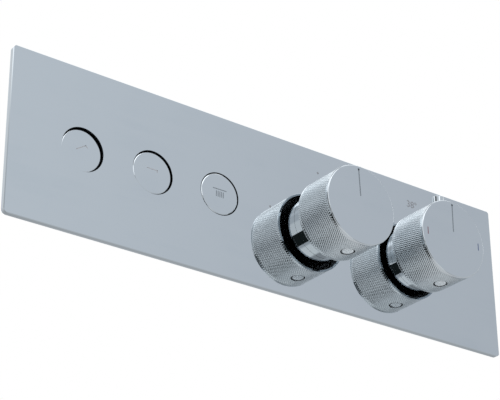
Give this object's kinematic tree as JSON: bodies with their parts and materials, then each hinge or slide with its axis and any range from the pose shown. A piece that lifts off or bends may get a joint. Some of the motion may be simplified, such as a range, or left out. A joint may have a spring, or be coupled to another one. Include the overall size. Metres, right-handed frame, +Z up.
{
  "type": "thermostatic shower valve",
  "caption": "Concealed thermostatic shower valve: chrome trim plate with push buttons, a knurled flow knob and a knurled temperature knob, on a brass manifold with threaded ports.",
  "frame": {"origin": "middle of the trim plate's back, on the finished wall", "axes": "+X to the right along the plate, +Y into the wall, +Z up; the user is at -Y"},
  "size_m": [0.35, 0.1147, 0.1],
  "materials": {
    "chrome_plate": "mirror polished chrome plate",
    "chrome_knurled": "chrome plate, diamond knurled round the barrel, polished on the face",
    "foam": "closed cell foam",
    "galvanised_steel": "galvanised sheet",
    "stainless_steel": "bright stainless",
    "cast_brass": "sand cast and machined",
    "turned_brass": "turned",
    "white_plastic": "moulded",
    "blue_plastic": "moulded",
    "black_plastic": "moulded",
    "black_rubber": "moulded",
    "spring_steel": "drawn wire",
    "ceramic": "lapped alumina",
    "copper": "drawn copper",
    "spool_metal": "ground stainless"
  },
  "bodies": {
    "valve": {"trim_plate": "chrome_plate", "plate_seal": "foam", "mounting_bracket": "galvanised_steel", "body_screws": "stainless_steel", "valve_body": "cast_brass", "hand_shower_spring": "spring_steel", "bath_spout_spring": "spring_steel", "overhead_shower_spring": "spring_steel", "hand_shower_cartridge": "turned_brass", "bath_spout_cartridge": "turned_brass", "overhead_shower_cartridge": "turned_brass", "button_guides": "black_plastic", "button_cartridge_rings": "black_rubber", "flow_sleeve": "chrome_plate", "temperature_sleeve": "chrome_plate", "sleeve_rings": "black_rubber", "flow_fixed_disc": "ceramic", "flow_seat_seal": "black_rubber", "flow_cartridge": "turned_brass", "flow_cartridge_nut": "turned_brass", "stop_ring": "white_plastic", "thermostat_spring": "spring_steel", "thermostat_end_ring": "turned_brass", "thermostat_cartridge": "turned_brass", "thermostat_cartridge_nut": "turned_brass", "thermostat_rings": "black_rubber", "hot_check_valve": "white_plastic", "cold_check_valve": "white_plastic", "hot_check_spring": "spring_steel", "cold_check_spring": "spring_steel", "inlet_strainers": "stainless_steel"},
    "hand_shower_push": {"hand_shower_cap": "chrome_plate", "hand_shower_stem": "white_plastic", "hand_shower_washer": "black_rubber"},
    "bath_spout_push": {"bath_spout_cap": "chrome_plate", "bath_spout_stem": "white_plastic", "bath_spout_washer": "black_rubber"},
    "overhead_shower_push": {"overhead_shower_cap": "chrome_plate", "overhead_shower_stem": "white_plastic", "overhead_shower_washer": "black_rubber"},
    "flow_control": {"flow_knob": "chrome_knurled", "flow_knob_insert": "black_plastic", "flow_grub_screw": "stainless_steel", "flow_knob_plug": "white_plastic", "flow_spindle": "turned_brass", "flow_moving_disc": "ceramic"},
    "temperature_control": {"temperature_knob": "chrome_knurled", "temperature_knob_insert": "black_plastic", "temperature_grub_screw": "stainless_steel", "temperature_knob_plug": "white_plastic", "temperature_spindle": "turned_brass", "safety_spring": "spring_steel"},
    "safety_release": {"safety_button": "chrome_plate", "safety_catch": "white_plastic"},
    "thermostat_shuttle": {"thermostat_carrier": "white_plastic", "overload_spring": "spring_steel", "wax_element": "copper", "thermostat_spool": "spool_metal"},
    "hot_check": {"hot_check_poppet": "blue_plastic"},
    "cold_check": {"cold_check_poppet": "blue_plastic"}
  },
  "joints": [
    {"name": "hand_shower_press", "type": "slide", "parent": "valve", "child": "hand_shower_push", "axis": [0, 1, 0], "range_m": [-0.0016, 0.0024], "stiffness_N_per_m": 600, "deforming": ["hand_shower_spring"]},
    {"name": "bath_spout_press", "type": "slide", "parent": "valve", "child": "bath_spout_push", "axis": [0, 1, 0], "range_m": [-0.0009, 0.0031], "stiffness_N_per_m": 600, "deforming": ["bath_spout_spring"]},
    {"name": "overhead_shower_press", "type": "slide", "parent": "valve", "child": "overhead_shower_push", "axis": [0, 1, 0], "range_m": [-0.00015, 0.00385], "stiffness_N_per_m": 600, "deforming": ["overhead_shower_spring"]},
    {"name": "flow_turn", "type": "hinge", "parent": "valve", "child": "flow_control", "pos_m": [0.0347, 0, 0], "axis": [0, -1, 0], "range_deg": [0, 90]},
    {"name": "temperature_turn", "type": "hinge", "parent": "valve", "child": "temperature_control", "pos_m": [0.109, 0, 0], "axis": [0, -1, 0], "range_deg": [-110, 0]},
    {"name": "safety_press", "type": "slide", "parent": "temperature_control", "child": "safety_release", "axis": [0, 0, -1], "range_m": [0, 0.003], "stiffness_N_per_m": 500, "deforming": ["safety_spring"]},
    {"name": "thermostat_slide", "type": "slide", "parent": "valve", "child": "thermostat_shuttle", "axis": [0, 1, 0], "range_m": [0, 0.0019], "deforming": ["thermostat_spring"]},
    {"name": "hot_check_lift", "type": "slide", "parent": "valve", "child": "hot_check", "axis": [0, 0, 1], "range_m": [0, 0.003], "stiffness_N_per_m": 150, "deforming": ["hot_check_spring"]},
    {"name": "cold_check_lift", "type": "slide", "parent": "valve", "child": "cold_check", "axis": [0, 0, 1], "range_m": [0, 0.003], "stiffness_N_per_m": 150, "deforming": ["cold_check_spring"]}
  ],
  "couplings": [
    {"joint": "thermostat_slide", "follows": "temperature_turn", "m_per_rad": -0.00095493}
  ]
}
